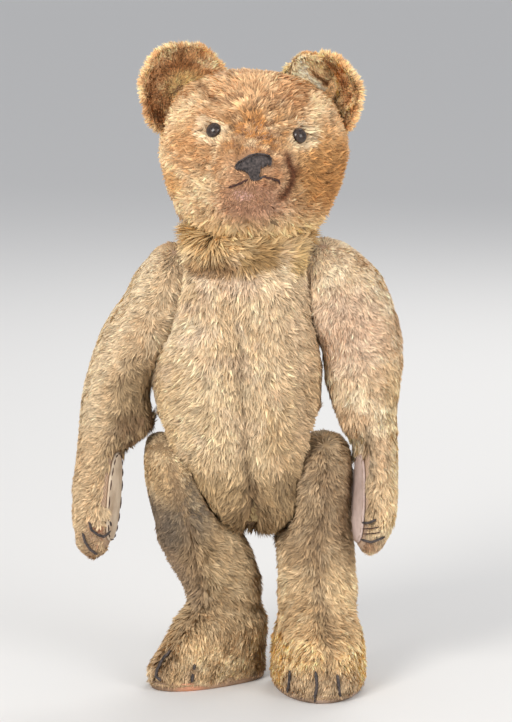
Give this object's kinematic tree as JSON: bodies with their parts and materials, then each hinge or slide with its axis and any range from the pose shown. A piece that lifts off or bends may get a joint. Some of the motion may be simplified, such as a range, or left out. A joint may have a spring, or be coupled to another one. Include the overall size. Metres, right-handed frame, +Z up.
{
  "type": "jointed teddy bear",
  "caption": "Threadbare standing mohair teddy bear with disc-jointed head, arms and legs, boot-button eyes, stitched nose and claws, felt paws and soles.",
  "frame": {"origin": "under the middle of the bear, on the surface that its feet stand on", "axes": "+Z up; the bear faces -Y; its own left side is +X"},
  "size_m": [0.1969, 0.1256, 0.39],
  "materials": {
    "worn_mohair": "pale beige pile, thin and bald in places, dirty at the paws",
    "golden_mohair": "golden-cinnamon pile, rubbed at the brow and muzzle",
    "wood_wool": "packed wood wool",
    "wool_felt": "pinkish off-white felt, dirty and thin at its edges",
    "pressed_card": "plain pressed card",
    "dull_steel": "dull, unplated",
    "boot_button": "dark brown-black, scratched gloss",
    "floss": "near-black cotton floss, worn"
  },
  "bodies": {
    "torso": {"torso_cover": "worn_mohair", "torso_stuffing": "wood_wool", "neck_disc_inner": "pressed_card", "neck_washer_inner": "dull_steel", "neck_pin": "dull_steel", "shoulder_left_disc_inner": "pressed_card", "shoulder_left_washer_inner": "dull_steel", "shoulder_left_pin": "dull_steel", "shoulder_right_disc_inner": "pressed_card", "shoulder_right_washer_inner": "dull_steel", "shoulder_right_pin": "dull_steel", "hip_left_disc_inner": "pressed_card", "hip_left_washer_inner": "dull_steel", "hip_left_pin": "dull_steel", "hip_right_disc_inner": "pressed_card", "hip_right_washer_inner": "dull_steel", "hip_right_pin": "dull_steel"},
    "head": {"head_cover": "golden_mohair", "head_stuffing": "wood_wool", "ear_left": "golden_mohair", "ear_right": "golden_mohair", "eye_left": "boot_button", "eye_right": "boot_button", "nose_stitching": "floss", "mouth_stitching": "floss", "neck_disc_outer": "pressed_card", "neck_washer_outer": "dull_steel"},
    "arm_left": {"arm_left_cover": "worn_mohair", "arm_left_stuffing": "wood_wool", "paw_pad_left": "wool_felt", "claw_thread_hand_left": "floss", "shoulder_left_disc_outer": "pressed_card", "shoulder_left_washer_outer": "dull_steel"},
    "arm_right": {"arm_right_cover": "worn_mohair", "arm_right_stuffing": "wood_wool", "paw_pad_right": "wool_felt", "claw_thread_hand_right": "floss", "shoulder_right_disc_outer": "pressed_card", "shoulder_right_washer_outer": "dull_steel"},
    "leg_left": {"leg_left_cover": "worn_mohair", "leg_left_stuffing": "wood_wool", "foot_pad_left": "wool_felt", "insole_left": "pressed_card", "claw_thread_foot_left": "floss", "hip_left_disc_outer": "pressed_card", "hip_left_washer_outer": "dull_steel"},
    "leg_right": {"leg_right_cover": "worn_mohair", "leg_right_stuffing": "wood_wool", "foot_pad_right": "wool_felt", "insole_right": "pressed_card", "claw_thread_foot_right": "floss", "hip_right_disc_outer": "pressed_card", "hip_right_washer_outer": "dull_steel"}
  },
  "joints": [
    {"name": "neck_turn", "type": "hinge", "parent": "torso", "child": "head", "pos_m": [0.007, 0.0168, 0.279], "axis": [0, 0, 1], "range_deg": [-60, 60]},
    {"name": "left_shoulder_swing", "type": "hinge", "parent": "torso", "child": "arm_left", "pos_m": [0.0423, 0.0168, 0.246], "axis": [-0.9903, 0, -0.1392], "range_deg": [-60, 100]},
    {"name": "right_shoulder_swing", "type": "hinge", "parent": "torso", "child": "arm_right", "pos_m": [-0.0336, 0.0168, 0.246], "axis": [-0.9781, 0, 0.2079], "range_deg": [-60, 100]},
    {"name": "left_hip_swing", "type": "hinge", "parent": "torso", "child": "leg_left", "pos_m": [0.038, 0.0168, 0.127], "axis": [-0.9962, 0, 0.0872], "range_deg": [-30, 95]},
    {"name": "right_hip_swing", "type": "hinge", "parent": "torso", "child": "leg_right", "pos_m": [-0.0255, 0.0168, 0.127], "axis": [-0.9063, 0, -0.4226], "range_deg": [-30, 95]}
  ]
}
